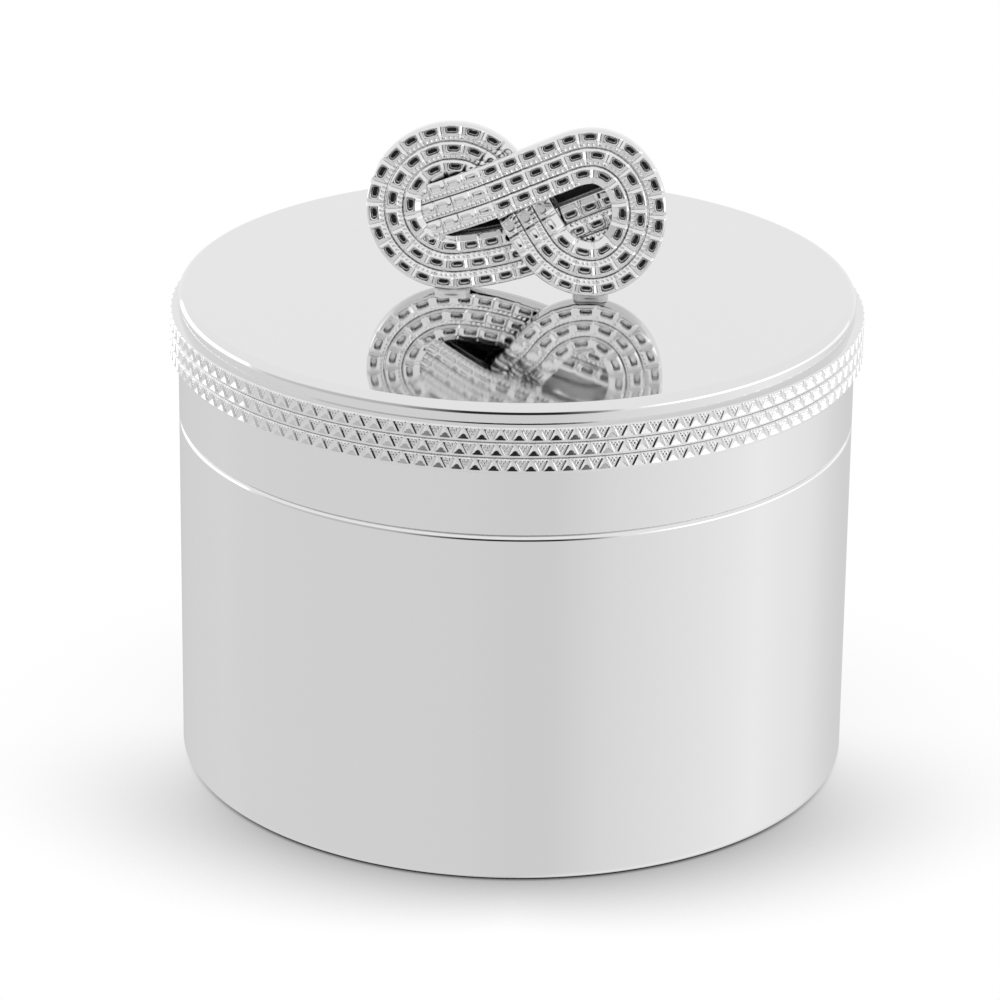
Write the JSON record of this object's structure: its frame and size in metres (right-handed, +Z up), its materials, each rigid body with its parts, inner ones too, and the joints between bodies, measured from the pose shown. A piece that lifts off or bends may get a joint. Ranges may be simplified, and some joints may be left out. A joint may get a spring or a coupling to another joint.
{
  "type": "baby tooth box",
  "caption": "Round polished metal keepsake box with a flush lift-off lid, bands of small pyramids round the lid and a flat knot handle.",
  "frame": {"origin": "centre of the felt underside, where the box stands", "axes": "+Z up through the lid; -Y towards the front of the knot; +X to the right seen from the front"},
  "size_m": [0.0512, 0.0512, 0.0493],
  "materials": {
    "polished_plate": "mirror-polished silver-coloured plate",
    "pyramid_wire": "pyramid-milled wire, plated and polished",
    "fixings": "turned brass",
    "card": "pressed grey board",
    "velvet": "short-pile ivory velvet",
    "felt": "pressed black felt"
  },
  "bodies": {
    "box": {"box_body": "polished_plate", "box_collar": "polished_plate", "wall_card": "card", "wall_velvet": "velvet", "floor_card": "card", "floor_velvet": "velvet", "base_felt": "felt"},
    "lid": {"lid_shell": "polished_plate", "band_wire_upper": "pyramid_wire", "band_wire_middle": "pyramid_wire", "band_wire_lower": "pyramid_wire", "knot_strand_a": "pyramid_wire", "knot_strand_b": "pyramid_wire", "knot_strand_c": "pyramid_wire", "knot_back": "polished_plate", "knot_feet": "polished_plate", "foot_washers": "fixings", "foot_nuts": "fixings", "lid_card": "card", "lid_velvet": "velvet"}
  },
  "joints": [
    {"name": "lid_lift", "type": "slide", "parent": "box", "child": "lid", "axis": [0, 0, 1], "range_m": [0, 0.045]}
  ]
}
